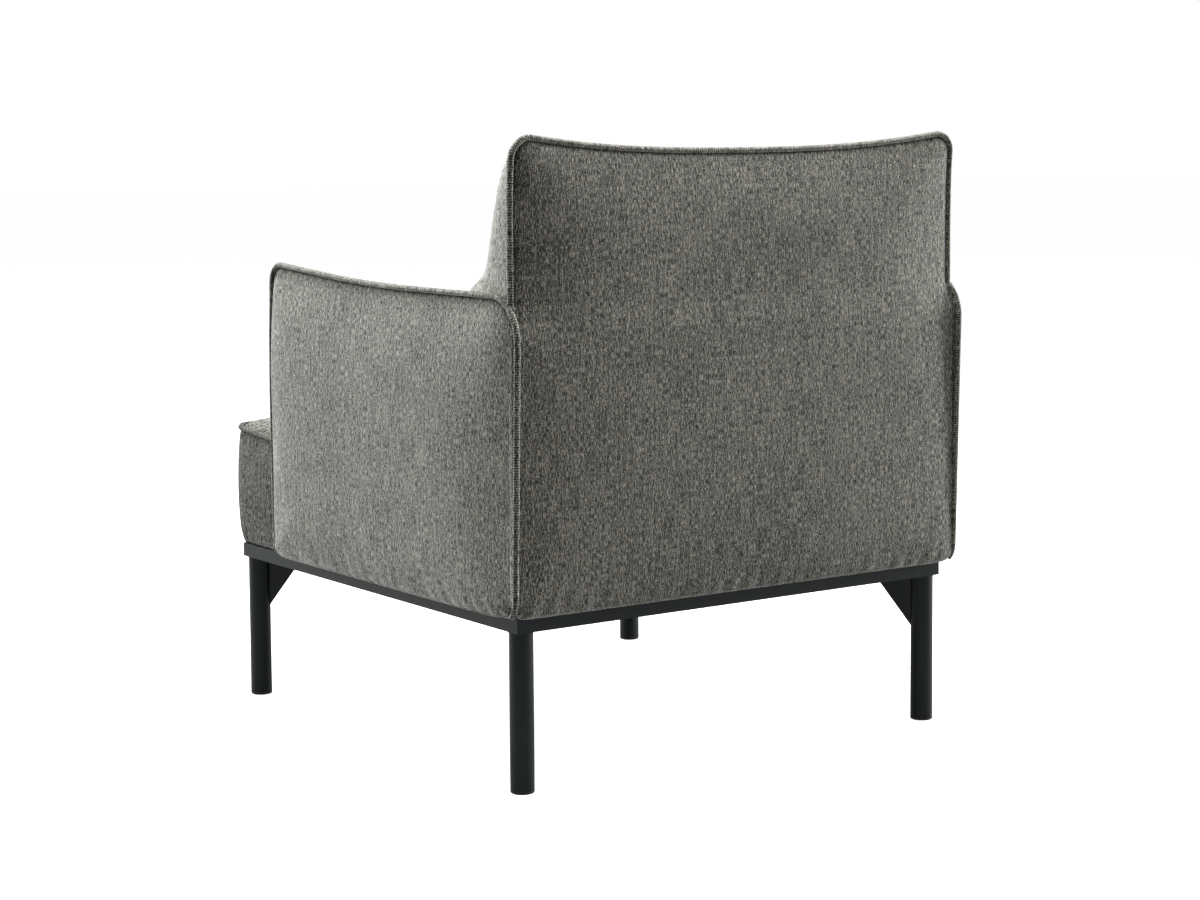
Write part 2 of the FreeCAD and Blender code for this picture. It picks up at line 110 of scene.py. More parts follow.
class Value:
    """A socket that can be written in sums; each sum adds a Math node."""

    def __init__(self, finish, socket):
        self.finish = finish
        self.socket = socket

    def _math(self, operation, first, second):
        return self.finish.node("ShaderNodeMath", {"operation": operation}, {0: first, 1: second})

    def __add__(self, other):
        return self._math("ADD", self, other)

    def __sub__(self, other):
        return self._math("SUBTRACT", self, other)

    def __rsub__(self, other):
        return self._math("SUBTRACT", other, self)

    def __mul__(self, other):
        return self._math("MULTIPLY", self, other)

    __radd__ = __add__
    __rmul__ = __mul__


class Finish:
    """One material while it is being made."""

    def __init__(self, name):
        self.material = bpy.data.materials.new(name)
        self.material.use_nodes = True
        self.tree = self.material.node_tree
        self.tree.nodes.clear()

    def node(self, kind, settings=None, inputs=None, output=0):
        """Any node: its settings first, then the values or links of its sockets."""
        made = self.tree.nodes.new(kind)
        for key, value in (settings or {}).items():
            if key == "stops":
                ramp = made.color_ramp
                while len(ramp.elements) < len(value):
                    ramp.elements.new(0.5)
                for element, (place, colour) in zip(ramp.elements, value):
                    element.position = place
                    element.color = (*colour, 1)
            else:
                setattr(made, key, value)
        for key, value in (inputs or {}).items():
            if isinstance(value, Value):
                self.tree.links.new(value.socket, made.inputs[key])
            else:
                made.inputs[key].default_value = value
        return Value(self, made.outputs[output])

    def noise(self, place, scale, detail=2.0, roughness=0.5, dimensions="3D"):
        return self.node("ShaderNodeTexNoise", {"noise_dimensions": dimensions},
                         {"Vector": place, "Scale": scale, "Detail": detail, "Roughness": roughness})

    def stretched(self, place, scale, offset=(0, 0, 0)):
        return self.node("ShaderNodeMapping", {}, {"Vector": place, "Scale": scale, "Location": offset})

    def object_place(self):
        return self.node("ShaderNodeTexCoord", {}, {}, "Object")

    def surface_node(self, inputs):
        return self.node("ShaderNodeBsdfPrincipled", {}, inputs)

    def surface(self, inputs):
        self.node_output(self.surface_node(inputs))
        return self.material

    def node_output(self, shader):
        out = self.tree.nodes.new("ShaderNodeOutputMaterial")
        self.tree.links.new(shader.socket, out.inputs["Surface"])


def spread(value, low, high):
    """A noise value stretched so that low becomes 0 and high becomes 1."""
    return (value - low) * (1 / (high - low))


# ---------------------------------------------------------------- materials

def heather_fabric(name, ribbed=False):
    """Heathered pile weave: warp streaks of dark, mid and light yarn, on the cloth's own map."""
    f = Finish(name)
    cloth = f.node("ShaderNodeUVMap", {"uv_map": "cloth"})
    streak = f.noise(f.stretched(cloth, (820, 135, 1)), 1.0, 2.0, 0.6, "2D")
    fleck = f.noise(f.stretched(cloth, (1050, 420, 1), (31, 17, 0)), 1.0, 1.0, 0.5, "2D")
    slub = f.noise(f.stretched(cloth, (260, 22, 1), (7, 3, 0)), 1.0, 2.0, 0.5, "2D")
    cloud = f.noise(f.stretched(cloth, (8, 5, 1), (2, 5, 0)), 1.0, 2.0, 0.5, "2D")
    hue = f.noise(f.stretched(cloth, (520, 90, 1), (53, 71, 0)), 1.0, 1.0, 0.5, "2D")
    yarn = 0.5 + (streak - 0.5) * 1.95 + (fleck - 0.5) * 1.25
    yarn = yarn + (slub - 0.5) * 0.6 + (cloud - 0.5) * 0.16
    if ribbed:
        run = f.node("ShaderNodeAttribute", {"attribute_name": "run"}, {}, "Fac")
        rib = f.node("ShaderNodeMath", {"operation": "SINE"}, {0: run * (2 * math.pi / RIB_PITCH)})
        yarn = yarn + rib * 0.2
    shade = f.node("ShaderNodeValToRGB", {"stops": [
        (0.0, (0.008, 0.008, 0.007)), (0.32, (0.032, 0.033, 0.029)), (0.5, (0.066, 0.067, 0.058)),
        (0.68, (0.125, 0.122, 0.107)), (1.0, (0.33, 0.31, 0.27))]}, {"Fac": yarn})
    warm = f.node("ShaderNodeMix", {"data_type": "RGBA", "blend_type": "MULTIPLY"},
                  {0: spread(hue, 0.42, 0.66), 6: shade, 7: (1.10, 1.0, 0.86, 1)}, 2)
    height = streak * 0.6 + fleck * 0.5
    if ribbed:
        height = height + rib * 0.5
    bump = f.node("ShaderNodeBump", {}, {"Height": height, "Strength": 0.35, "Distance": 0.7 * MM})
    pile = f.node("ShaderNodeBsdfPrincipled", {}, {
        "Base Color": warm, "Roughness": 0.88, "Normal": bump, "Specular IOR Level": 0.1,
        "Sheen Weight": 0.95, "Sheen Roughness": 0.52, "Sheen Tint": (0.97, 1.0, 0.95, 1)})
    # Dark sheenless core yarn: mixed in by the yarn pattern and by the flat-pile share, and used as painted
    # shade in a band beside each seam
    core_yarn_and_seam_shade = f.node("ShaderNodeBsdfPrincipled", {}, {
        "Base Color": (0.016, 0.016, 0.014, 1), "Roughness": 0.9, "Normal": bump,
        "Specular IOR Level": 0.05})
    # Mesh attribute holding painted shade beside the seams plus the darker flat-pile share
    seam = f.node("ShaderNodeAttribute", {"attribute_name": "seam"}, {}, "Fac")
    dark_share = f.node("ShaderNodeClamp", {}, {"Value": 0.26 + (0.5 - yarn) * 1.9, "Max": 0.85})
    share = f.node("ShaderNodeClamp", {}, {"Value": dark_share + seam})
    f.node_output(f.node("ShaderNodeMixShader", {}, {0: share, 1: pile, 2: core_yarn_and_seam_shade}))
    return f.material


def powder_coat():
    """Satin powder coat with its fine orange peel."""
    f = Finish("powder_coated_steel")
    place = f.object_place()
    peel = f.noise(place, 900.0, 2.0)
    cloud = f.noise(place, 6.0, 3.0)
    colour = f.node("ShaderNodeMix", {"data_type": "RGBA"},
                    {0: cloud, 6: (0.007, 0.011, 0.0115, 1), 7: (0.011, 0.0155, 0.016, 1)}, 2)
    rough = 0.36 + (peel - 0.5) * 0.12 + (cloud - 0.5) * 0.06
    bump = f.node("ShaderNodeBump", {}, {"Height": peel, "Strength": 0.12, "Distance": 0.2 * MM})
    return f.surface({"Base Color": colour, "Roughness": rough, "Normal": bump, "Specular IOR Level": 0.3})


def moulded_plastic():
    f = Finish("glide_plastic")
    place = f.object_place()
    grain = f.noise(place, 1500.0, 2.0)
    bump = f.node("ShaderNodeBump", {}, {"Height": grain, "Strength": 0.15, "Distance": 0.2 * MM})
    colour = f.node("ShaderNodeMix", {"data_type": "RGBA"},
                    {0: grain, 6: (0.010, 0.011, 0.011, 1), 7: (0.018, 0.019, 0.019, 1)}, 2)
    return f.surface({"Base Color": colour, "Roughness": 0.55, "Normal": bump})


def zinc_steel():
    f = Finish("zinc_steel")
    place = f.object_place()
    spangle = f.noise(place, 120.0, 3.0)
    colour = f.node("ShaderNodeMix", {"data_type": "RGBA"},
                    {0: spangle, 6: (0.45, 0.45, 0.44, 1), 7: (0.66, 0.66, 0.63, 1)}, 2)
    return f.surface({"Base Color": colour, "Roughness": 0.28 + spangle * 0.2, "Metallic": 1.0})


def sawn_timber():
    f = Finish("timber")
    place = f.object_place()
    grain = f.noise(f.stretched(place, (60, 60, 4)), 1.0, 4.0, 0.6)
    pore = f.noise(f.stretched(place, (500, 500, 40)), 1.0, 2.0)
    colour = f.node("ShaderNodeValToRGB", {"stops": [
        (0.3, (0.32, 0.20, 0.10)), (0.5, (0.50, 0.35, 0.20)), (0.7, (0.62, 0.46, 0.28))]},
        {"Fac": grain + (pore - 0.5) * 0.2})
    bump = f.node("ShaderNodeBump", {}, {"Height": pore, "Strength": 0.3, "Distance": 0.4 * MM})
    return f.surface({"Base Color": colour, "Roughness": 0.75, "Normal": bump})


def foam_or_cloth(name, dark, light, scale, roughness=0.95):
    """A plain open texture: foam cells, non-woven dust cloth or elastic webbing."""
    f = Finish(name)
    place = f.object_place()
    cell = f.noise(place, scale, 2.0)
    colour = f.node("ShaderNodeMix", {"data_type": "RGBA"}, {0: cell, 6: (*dark, 1), 7: (*light, 1)}, 2)
    bump = f.node("ShaderNodeBump", {}, {"Height": cell, "Strength": 0.4, "Distance": 0.5 * MM})
    return f.surface({"Base Color": colour, "Roughness": roughness, "Normal": bump})


def studio_floor():
    """A pale sweep: seen, it stays white to the horizon; its own light on the chair is weaker."""
    f = Finish("studio_floor")
    seen = f.surface_node({"Base Color": (0.55, 0.55, 0.55, 1), "Roughness": 0.9, "Specular IOR Level": 0.0,
                           "Emission Color": (1, 1, 1, 1), "Emission Strength": 0.95})
    lighting = f.surface_node({"Base Color": (0.28, 0.28, 0.28, 1), "Roughness": 0.9,
                               "Specular IOR Level": 0.0, "Emission Color": (1, 1, 1, 1),
                               "Emission Strength": 0.05})
    looked_at = f.node("ShaderNodeLightPath", {}, {}, "Is Camera Ray")
    f.node_output(f.node("ShaderNodeMixShader", {}, {0: looked_at, 1: lighting, 2: seen}))
    return f.material


FABRIC = heather_fabric("heather_fabric")
WELT_FABRIC = heather_fabric("heather_welt", ribbed=True)
SLOT_FINISHES = {
    "powder_coated_steel": powder_coat(),
    "glide_plastic": moulded_plastic(),
    "zinc_steel": zinc_steel(),
    "timber": sawn_timber(),
    "foam": foam_or_cloth("foam", (0.62, 0.55, 0.38), (0.78, 0.72, 0.55), 700.0),
    "webbing": foam_or_cloth("webbing", (0.42, 0.40, 0.34), (0.62, 0.60, 0.52), 500.0),
    "dust_cloth": foam_or_cloth("dust_cloth", (0.012, 0.012, 0.012), (0.03, 0.03, 0.03), 900.0),
    "heather_fabric": FABRIC,
}


def dress_frame():
    """Gives every piece of the frame the finish of its slot."""
    slots = {s["node"]: s["material_slot"] for s in frame["record"]["subparts"]}
    for name, obj in nodes.items():
        finish = SLOT_FINISHES[slots[name]]
        if not obj.material_slots:
            obj.data.materials.append(finish)
        for slot in obj.material_slots:
            slot.material = finish


# ---------------------------------------------------------------- outlines

def rounded_panel(corners, lift):
    """One face inside an outline of (a, b, radius) corners, each corner rounded, and its outline."""
    bm = bmesh.new()
    made = [bm.verts.new(lift(a, b, 0)) for a, b, radius in corners]
    bm.faces.new(made)
    for i, vert in enumerate(made):
        here = Vector(corners[i][:2])
        back = Vector(corners[i - 1][:2]) - here
        ahead = Vector(corners[(i + 1) % len(corners)][:2]) - here
        half = back.angle(ahead) / 2
        radius = corners[i][2]
        arc = radius * (math.pi - 2 * half)
        steps = max(2, math.ceil(arc / (4 * MM)))
        bmesh.ops.bevel(bm, geom=[vert], offset=radius / math.tan(half), offset_type="OFFSET",
                        segments=steps, profile=0.5, affect="VERTICES", material=-1)
    return bm


def outline_of(corners):
    """The rounded outline as a ring of 2-D points."""
    bm = rounded_panel(corners, lambda a, b, c: (a, b, c))
    bm.faces.ensure_lookup_table()
    ring = [tuple(v.co[:2]) for v in bm.faces[0].verts]
    bm.free()
    return ring


def stretch_of(ring, kept):
    """The points of a ring that pass a test, in order along it."""
    passed = [kept(a, b) for a, b in ring]
    start = next(i for i in range(len(ring)) if passed[i] and not passed[i - 1])
    turned = [ring[(start + k) % len(ring)] for k in range(len(ring))]
    end = next(k for k in range(len(ring)) if not kept(*turned[k]))
    return turned[:end]


def even_run(points, step, closed=False):
    """The same line with its points a step apart."""
    line = np.array(list(points) + list(points[:1]) if closed else points, float)
    lengths = np.linalg.norm(np.diff(line, axis=0), axis=1)
    run = np.concatenate([[0], np.cumsum(lengths)])
    wanted = np.linspace(0, run[-1], max(2, round(run[-1] / step)) + 1)
    even = np.stack([np.interp(wanted, run, line[:, k]) for k in range(line.shape[1])], 1)
    return even[:-1] if closed else even


def reach_to_edge(places, outline):
    """How far each 2-D place is from an outline, and the outward direction of the nearest stretch."""
    ring = even_run(outline, 6 * MM, closed=True)
    ahead = np.roll(ring, -1, axis=0) - ring
    area = np.sum(ring[:, 0] * np.roll(ring[:, 1], -1) - np.roll(ring[:, 0], -1) * ring[:, 1])
    normal = np.stack([ahead[:, 1], -ahead[:, 0]], 1) * (1 if area > 0 else -1)
    normal /= np.linalg.norm(normal, axis=1)[:, None]
    middle = ring + ahead / 2
    best = np.empty(len(places))
    way = np.empty((len(places), 2))
    for start in range(0, len(places), 4000):
        part = places[start:start + 4000]
        gap = part[:, None, :] - middle[None, :, :]
        far = np.einsum("ijk,ijk->ij", gap, gap)
        pick = far.argmin(1)
        inward = -np.einsum("ij,ij->i", gap[np.arange(len(part)), pick], normal[pick])
        best[start:start + 4000] = np.clip(inward, 0, None)
        way[start:start + 4000] = normal[pick]
    return best, way


def rolled(gap, radius):
    """How far a rolled edge of this radius drops, at this distance in from the edge."""
    inside = np.clip(radius - gap, 0, radius)
    return radius - np.sqrt(radius * radius - inside * inside)


def crowned(gap, height, spread_over):
    """How far padding rises, at this distance in from its seam."""
    return height * (1 - np.exp(-gap / spread_over))


# ---------------------------------------------------------------- meshes

def object_from(bm, name):
    mesh = bpy.data.meshes.new(name)
    bmesh.ops.recalc_face_normals(bm, faces=bm.faces)
    bm.to_mesh(mesh)
    bm.free()
    obj = bpy.data.objects.new(name, mesh)
    bpy.context.scene.collection.objects.link(obj)
    return obj


def coordinates(obj):
    co = np.empty(len(obj.data.vertices) * 3, np.float32)
    obj.data.vertices.foreach_get("co", co)
    return co.reshape(-1, 3).astype(float)


def set_coordinates(obj, co):
    obj.data.vertices.foreach_set("co", co.astype(np.float32).ravel())
    obj.data.update()


def applied(obj):
    """The object with its modifiers applied."""
    bpy.context.view_layer.update()
    shaped = obj.evaluated_get(bpy.context.evaluated_depsgraph_get())
    mesh = bpy.data.meshes.new_from_object(shaped)
    obj.modifiers.clear()
    old = obj.data
    obj.data = mesh
    bpy.data.meshes.remove(old)
    return obj


def padded_blank(name, corners, lift, depth):
    """A closed block of even quads: an outline pushed by depth along the third direction of lift."""
    bm = rounded_panel(corners, lift)
    grown = bmesh.ops.extrude_face_region(bm, geom=list(bm.faces), use_keep_orig=True)
    moved = [v for v in grown["geom"] if isinstance(v, bmesh.types.BMVert)]
    shift = Vector(lift(0, 0, depth)) - Vector(lift(0, 0, 0))
    bmesh.ops.translate(bm, verts=moved, vec=shift)
    obj = object_from(bm, name)
    remesh = obj.modifiers.new("Remesh", "REMESH")
    remesh.mode = "VOXEL"
    remesh.voxel_size = VOXEL
    return applied(obj)


def relaxed(obj, rounds):
    """Evens out the steps that remeshing leaves."""
    bm = bmesh.new()
    bm.from_mesh(obj.data)
    for _ in range(rounds):
        bmesh.ops.smooth_vert(bm, verts=bm.verts, factor=0.5,
                              use_axis_x=True, use_axis_y=True, use_axis_z=True)
    bm.to_mesh(obj.data)
    bm.free()
    return obj


def inflate(obj, held, cap, pressure=4.0):
    """Fills the cover by cloth simulation, with the held points fixed and no point moving past the cap."""
    group = obj.vertex_groups.new(name="held")
    group.add([int(i) for i in np.flatnonzero(held)], 1.0, "REPLACE")
    before = coordinates(obj)
    cloth = obj.modifiers.new("Cloth", "CLOTH")
    settings = cloth.settings
    settings.quality = 4
    settings.mass = 0.25
    settings.tension_stiffness = settings.compression_stiffness = 18
    settings.shear_stiffness = 8
    settings.bending_stiffness = 1.5
    settings.use_pressure = True
    settings.uniform_pressure_force = pressure
    settings.vertex_group_mass = group.name
    settings.pin_stiffness = 1.0
    settings.effector_weights.gravity = 0.0
    cloth.collision_settings.use_collision = False
    cloth.point_cache.frame_start = 1
    cloth.point_cache.frame_end = FILL_FRAMES
    scene = bpy.context.scene
    for number in range(1, FILL_FRAMES + 1):
        scene.frame_set(number)
    applied(obj)
    scene.frame_set(1)
    move = coordinates(obj) - before
    length = np.linalg.norm(move, axis=1)[:, None]
    move *= cap * np.tanh(length / cap) / np.maximum(length, 1e-9)
    set_coordinates(obj, before + move)
    obj.vertex_groups.clear()
    return obj


def subdivided(obj):
    smooth = obj.modifiers.new("Subdivision", "SUBSURF")
    smooth.levels = smooth.render_levels = 1
    return applied(obj)


def lay_cloth(obj):
    """Maps the cloth on each panel: across the warp, then along it, in metres."""
    mesh = obj.data
    loops = len(mesh.loops)
    layer = mesh.uv_layers.get("cloth") or mesh.uv_layers.new(name="cloth")
    corner = np.empty(loops, np.int32)
    mesh.loops.foreach_get("vertex_index", corner)
    co = coordinates(obj)[corner]
    totals = np.empty(len(mesh.polygons), np.int32)
    mesh.polygons.foreach_get("loop_total", totals)
    normals = np.empty(len(mesh.polygons) * 3, np.float32)
    mesh.polygons.foreach_get("normal", normals)
    facing = np.abs(np.repeat(normals.reshape(-1, 3), totals, axis=0))
    flat = facing[:, 2] > 0.78
    side = ~flat & (facing[:, 0] > facing[:, 1])
    across = np.where(side, co[:, 1] + 3.0, co[:, 0])
    along = np.where(flat, co[:, 1] + 5.0, co[:, 2])
    layer.data.foreach_set("uv", np.stack([across, along], 1).astype(np.float32).ravel())


def seam_groove_and_painted_shade(obj, line, depth, width, flat_pile=0.0):
    """Pulls the cover in along a seam, and writes how dark each point is drawn: painted shade in a narrow
    band beside the seam, and a darker flat-pile share where flat_pile is given, less on level faces.
    """
    co = coordinates(obj)
    mesh = obj.data
    normals = np.empty(len(mesh.vertices) * 3, np.float32)
    mesh.vertex_normals.foreach_get("vector", normals)
    normals = normals.reshape(-1, 3)
    tree = KDTree(len(line))
    for i, place in enumerate(line):
        tree.insert(place, i)
    tree.balance()
    near = np.array([tree.find(place)[2] for place in co])
    pull = depth * np.exp(-(near / width) ** 2)
    set_coordinates(obj, co - normals * pull[:, None])
    layer = mesh.attributes.get("seam") or mesh.attributes.new("seam", "FLOAT", "POINT")
    level_face = np.clip(normals[:, 2] * 1.4, 0, 1) ** 2
    ground = flat_pile * (1 - 0.45 * level_face)
    # Painted shade: a dark band beside the seam standing in for the shadow of its groove and welt
    dark_share = np.maximum(ground, 0.9 * np.exp(-(near / PAINTED_SEAM_SHADE_WIDTH) ** 4))
    layer.data.foreach_set("value", dark_share.astype(np.float32))


def finish_cover(obj, replaced):
    for polygon in obj.data.polygons:
        polygon.use_smooth = True
    lay_cloth(obj)
    obj.data.materials.clear()
    obj.data.materials.append(FABRIC)
    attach(obj, "root")
    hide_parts(*replaced)
    return obj


def mirrored_copy(obj, name):
    mesh = obj.data.copy()
    copy = bpy.data.objects.new(name, mesh)
    bpy.context.scene.collection.objects.link(copy)
    bm = bmesh.new()
    bm.from_mesh(mesh)
    bmesh.ops.scale(bm, vec=(-1, 1, 1), verts=bm.verts)
    bmesh.ops.reverse_faces(bm, faces=bm.faces)
    bm.to_mesh(mesh)
    bm.free()
    return copy


# ---------------------------------------------------------------- arms

def arm_corners(grow=0.0):
    """The arm from the side: a raised front ear, a dipping top, a rear edge that leans in at the foot."""
    return [(ARM_FRONT + ARM_FOOT_BACK - grow, ARM_FOOT - grow, 24 * MM),
            (ARM_FRONT - grow, ARM_BOW, 2.0),
            (ARM_FRONT + ARM_EAR_BACK - grow, ARM_TOP + ARM_EAR_RISE + grow, ARM_EAR_ROUND),
            (ARM_DIP_AT, ARM_TOP + grow, 3.0),
            (ARM_REAR + 2.7 * MM + grow, ARM_TOP + grow, ARM_REAR_ROUND),
            (ARM_REAR - 9.3 * MM + grow, ARM_FOOT - grow, 30 * MM)]


def pull_marks(along, height, foot, size):
    """Slight slanting waves where a cover is drawn under the frame and stapled."""
    lean = along + 0.35 * (height - foot)
    wave = np.sin(lean * 151 + 0.7) * np.sin(lean * 61 + 2.1) + 0.6 * np.sin(lean * 233 + 1.2)
    return size * wave * np.exp(-np.clip(height - foot, 0, None) / (38 * MM))


def make_arm():
    """The left arm: outer panel crowned from its welt, foot rolled under, top falling inwards."""
    outline = outline_of(arm_corners())
    arm = padded_blank("arm_left", arm_corners(4.2 * MM), lambda a, b, c: (c, a, b), ARM_DEPTH)
    relaxed(arm, 1)
    co = coordinates(arm)
    t = np.clip(co[:, 0] / ARM_DEPTH, 0, 1)
    y = co[:, 1]
    z = co[:, 2]
    edge = reach_to_edge(co[:, 1:], outline)[0]
    from_foot = np.clip(z - ARM_FOOT, 0, None)
    top_line = ARM_TOP + ARM_EAR_RISE * np.clip((ARM_DIP_AT - y) / (ARM_DIP_AT - ARM_FRONT), 0, 1)
    rear_line = ARM_REAR - 9 * MM * (1 - from_foot / 0.42)
    front_line = np.interp(z, [ARM_FOOT, ARM_BOW, ARM_TOP + ARM_EAR_RISE],
                           [ARM_FRONT + ARM_FOOT_BACK, ARM_FRONT, ARM_FRONT + ARM_EAR_BACK])
    front_gap = np.clip(y - front_line - rolled(top_line - z, ARM_EAR_ROUND), 0, None)
    rear_gap = np.clip(rear_line - y - rolled(top_line - z, ARM_REAR_ROUND), 0, None)
    from_top = np.clip(top_line - z, 0, None)
    corner_fall = rolled(y - front_line, ARM_EAR_ROUND)
    top_gap = np.clip(from_top - corner_fall - rolled(rear_line - y, ARM_REAR_ROUND), 0, None)
    seam_gap = np.minimum(top_gap, rear_gap)
    full = (1 - np.exp(-seam_gap / (44 * MM))) * (1 - np.exp(-front_gap / (9 * MM)))
    outer = ARM_SEAM_X + ARM_CROWN * full - rolled(from_foot, 20 * MM)
    inner = arm_low.x + 2 * MM + rolled(from_top, 52 * MM) + rolled(y - front_line, 26 * MM)
    co[:, 0] = inner * (1 - t) + outer * t
    co[:, 2] -= 5 * MM * (1 - t) * np.exp(-from_top / (25 * MM))
    set_coordinates(arm, co)
    along_seam = (edge < 9 * MM) & (t > 0.5)
    beside_back = (y > BACK_SEAM_Y - 30 * MM) & (t < 0.6)
    inflate(arm, along_seam | (z < ARM_FOOT + 10 * MM) | beside_back, 5 * MM)
    subdivided(arm)
    co = coordinates(arm)
    co[:, 0] += pull_marks(co[:, 1], co[:, 2], ARM_FOOT, 0.8 * MM) * (co[:, 0] > ARM_SEAM_X - 4 * MM)
    lifted = 5 * MM * np.clip((co[:, 1] - ARM_REAR + 90 * MM) / (90 * MM), 0, 1) ** 2
    co[:, 2] += lifted * np.exp(-np.clip(co[:, 2] - ARM_FOOT, 0, None) / (25 * MM))
    over_rail = np.clip((RAIL_SIDE + 2 * MM - co[:, 0]) / (2 * MM), 0, 1)
    lowest = ARM_FOOT - 3 * MM + over_rail * (RAIL_TOP + 1.5 * MM - ARM_FOOT + 3 * MM)
    co[:, 2] = np.maximum(co[:, 2], lowest)
    inside = np.clip((ARM_SEAM_X - 4 * MM - co[:, 0]) / (3 * MM), 0, 1)
    limit = ARM_REAR + 6 * MM + inside * (BACK_SEAM_Y - 2 * MM - ARM_REAR - 6 * MM)
    co[:, 1] = np.minimum(co[:, 1], limit)
    set_coordinates(arm, co)
    return arm


def arm_welt_line():
    """All round the outer panel but for its foot: up the front, back along the top, down the rear."""
    ring = even_run(outline_of(arm_corners(0.8 * MM)), RUN_STEP, closed=True)
    line = stretch_of(ring, lambda a, b: b > ARM_FOOT + 8 * MM)
    return np.array([(ARM_SEAM_X + 1 * MM, a, b) for a, b in line])


# ---------------------------------------------------------------- seat

def seat_corners(grow=0.0):
    """The seat from above: a T whose front part runs across before both arms."""
    wide = RAIL_SIDE - 1 * MM + grow
    narrow = arm_low.x + 1 * MM
    front = seat_welt_low.y + 9 * MM - grow
    rear = wedge_low.y - 3 * MM
    return [(-wide, front, 28 * MM), (wide, front, 28 * MM),
            (wide, TEE_REAR, 6 * MM), (narrow, TEE_REAR, 5 * MM),
            (narrow, rear, 8 * MM), (-narrow, rear, 8 * MM),
            (-narrow, TEE_REAR, 5 * MM), (-wide, TEE_REAR, 6 * MM)]


def seam_drop(y):
    """The seat's seam falls from its front corners towards the arms."""
    return 13 * MM * np.clip((y - seat_welt_low.y) / (ARM_FRONT - seat_welt_low.y), 0, 1)


def make_seat():
    """The T-shaped seat: crowned top, bulging boxing, front foot rolled under."""
    outline = outline_of(seat_corners())
    depth = SEAT_SEAM - SEAT_FOOT
    seat = padded_blank("seat_cushion", seat_corners(1.5 * MM),
                        lambda a, b, c: (a, b, SEAT_FOOT + c), depth)
    relaxed(seat, 1)
    co = coordinates(seat)
    t = np.clip((co[:, 2] - SEAT_FOOT) / depth, 0, 1)
    edge, way = reach_to_edge(co[:, :2], outline)
    rise = crowned(edge, SEAT_CROWN, 30 * MM) - seam_drop(co[:, 1]) * np.exp(-edge / (60 * MM))
    co[:, 2] += rise * t ** 2
    front_roll = 24 * MM
    side_roll = 5 * MM
    sideways = np.abs(way[:, 0])
    roll = front_roll + (side_roll - front_roll) * sideways
    bulge = (10 - 5 * sideways) * MM * np.sin(np.pi * t) ** 0.8 - roll * np.clip(1 - t / 0.2, 0, 1) ** 2
    in_front = co[:, 1] < ARM_FRONT - 3 * MM
    shift = bulge * np.exp(-edge / (30 * MM)) * in_front
    co[:, 0] += way[:, 0] * shift
    co[:, 1] += np.minimum(way[:, 1], 0) * shift
    set_coordinates(seat, co)
    along_seam = (edge < 9 * MM) & (t > 0.94)
    inflate(seat, along_seam | (t < 0.06) | (co[:, 1] > wedge_low.y - 40 * MM), 6 * MM)
    subdivided(seat)
    co = coordinates(seat)
    over_rail = (np.abs(co[:, 0]) < RAIL_SIDE + 1 * MM) & (co[:, 1] > RAIL_FRONT - 1 * MM)
    co[:, 2] = np.where(over_rail, np.maximum(co[:, 2], RAIL_TOP + 1.5 * MM), co[:, 2])
    set_coordinates(seat, co)
    return seat


def seat_welt_line():
    """Round the top edge of the front part, from one arm to the other."""
    ring = even_run(outline_of(seat_corners(1.5 * MM)), RUN_STEP, closed=True)
    line = stretch_of(ring, lambda a, b: b < ARM_FRONT - 12 * MM)
    ends = [(line[0][0], ARM_FRONT), (line[-1][0], ARM_FRONT)]
    line = even_run([ends[0]] + [tuple(p) for p in line] + [ends[1]], RUN_STEP)
    return np.array([(a, b, SEAT_SEAM - seam_drop(b)) for a, b in line])


# ---------------------------------------------------------------- back

def dipped(co):
    """Lets a level top edge sag between the back's two ears, and draws the ears a little backwards."""
    x = np.abs(co[:, 0]) / (BACK_HALF - 26 * MM)
    share = np.clip((co[:, 2] - 0.62) / (BACK_EAR - 0.62), 0, 1) ** 2
    co[:, 2] -= BACK_DIP * (1 - np.clip(x, 0, 1) ** 2.6) * share
    co[:, 1] += 7 * MM * np.clip(x, 0, 1.05) ** 4 * share ** 3
    return co


def back_corners(grow=0.0):
    """The back from behind, before its top edge is dipped."""
    side = BACK_HALF + grow
    ear = BACK_EAR - 4 * MM + grow
    foot = BACK_FOOT - grow
    return [(-side, foot, 26 * MM), (-side, ear, BACK_EAR_ROUND),
            (side, ear, BACK_EAR_ROUND), (side, foot, 26 * MM)]


def make_outer_back():
    """The outer panel, crowned from its seam, a little wider low down, where it meets the arms' welts."""
    outline = outline_of(back_corners())
    back = padded_blank("back_outer", back_corners(1.5 * MM), lambda a, b, c: (a, c, b), PANEL_DEPTH)
    relaxed(back, 1)
    co = coordinates(back)
    t = np.clip(co[:, 1] / PANEL_DEPTH, 0, 1)
    edge = reach_to_edge(co[:, [0, 2]], outline)[0]
    low = np.clip((ARM_TOP - 10 * MM - co[:, 2]) / (40 * MM), 0, 1)
    rear = BACK_SEAM_Y + 3 * MM + crowned(edge, BACK_CROWN, 38 * MM) - rolled(co[:, 2] - BACK_FOOT, 12 * MM)
    rear += low * (4 * MM + 7 * MM * np.exp(-edge / (38 * MM)))
    co[:, 1] = (BACK_SEAM_Y - 1 * MM) * (1 - t) + rear * t
    co[:, 0] *= 1 + low * 6 * MM / BACK_HALF
    set_coordinates(back, dipped(co))
    inflate(back, (edge < 8 * MM) | (t < 0.4), 5 * MM)
    subdivided(back)
    co = coordinates(back)
    co[:, 1] += pull_marks(co[:, 0], co[:, 2], BACK_FOOT, 0.5 * MM) * (co[:, 1] > BACK_SEAM_Y + 4 * MM)
    set_coordinates(back, co)
    return back


